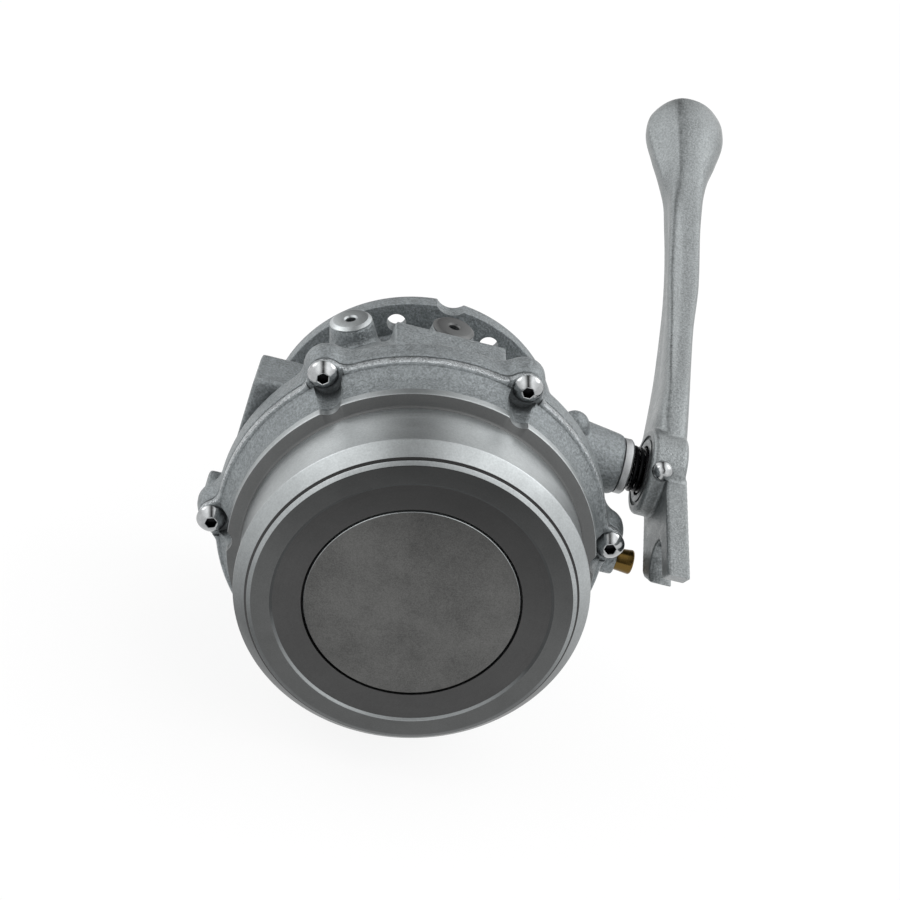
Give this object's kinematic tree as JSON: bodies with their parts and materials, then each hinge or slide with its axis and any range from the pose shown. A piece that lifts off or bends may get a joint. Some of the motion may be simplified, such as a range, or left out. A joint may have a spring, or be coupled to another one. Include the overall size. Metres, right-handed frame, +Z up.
{
  "type": "tank truck bottom loading adaptor valve",
  "caption": "Lever-operated bottom-loading adaptor valve: round coupling nose, spring-closed poppet, flanged cast body and a side lever on a sealed shaft.",
  "frame": {"origin": "centre of the rear flange's mounting face", "axes": "+Z up, +Y along the bore from the nose to the rear flange, +X towards the lever side"},
  "size_m": [0.2445, 0.3667, 0.2286],
  "materials": {
    "machined_aluminium": "turned and blasted nose with raw cast flange",
    "cast_aluminium": "sand-cast and blasted",
    "anodised_aluminium": "flat, smooth and dull",
    "zinc_plated_steel": "bright zinc",
    "stainless_steel": "ground",
    "blackened_steel": "black oxide wire",
    "yellow_brass": "turned",
    "nitrile_rubber": "smooth moulded rubber",
    "plain_polymer": "filled bearing polymer"
  },
  "bodies": {
    "housing": {"adaptor_head": "machined_aluminium", "valve_body": "cast_aluminium", "joint_seal": "nitrile_rubber", "head_screws": "zinc_plated_steel", "stem_guide": "cast_aluminium", "guide_bush": "plain_polymer", "poppet_spring": "stainless_steel", "inner_bush": "plain_polymer", "outer_bush": "plain_polymer", "thrust_washer": "plain_polymer", "shaft_seals": "nitrile_rubber", "gland_washer": "zinc_plated_steel", "shaft_spring": "blackened_steel", "side_plug": "yellow_brass"},
    "lever": {"handle": "cast_aluminium", "handle_pin": "zinc_plated_steel", "operating_shaft": "stainless_steel", "crank_arm": "stainless_steel", "crank_dowel": "stainless_steel", "crank_pin": "stainless_steel", "crank_clip": "stainless_steel"},
    "roller": {"crank_roller": "stainless_steel"},
    "poppet": {"poppet_disc": "anodised_aluminium", "poppet_seal": "nitrile_rubber", "seal_retainer": "cast_aluminium", "retainer_screws": "stainless_steel", "poppet_stem": "stainless_steel", "stem_yoke": "stainless_steel"}
  },
  "joints": [
    {"name": "handle_turn", "type": "hinge", "parent": "housing", "child": "lever", "pos_m": [0, -0.0608, 0.0386], "axis": [1, 0, 0], "range_deg": [0, 70.2]},
    {"name": "roller_spin", "type": "hinge", "parent": "lever", "child": "roller", "pos_m": [0, -0.07977, 0.0116], "axis": [1, 0, 0], "continuous": true},
    {"name": "poppet_slide", "type": "slide", "parent": "housing", "child": "poppet", "axis": [0, 1, 0], "range_m": [0, 0.038], "stiffness_N_per_m": 1500, "springref_m": -0.03, "deforming": ["poppet_spring"]}
  ],
  "couplings": [
    {"joint": "poppet_slide", "follows": "handle_turn", "m_per_rad": 0.03098}
  ]
}
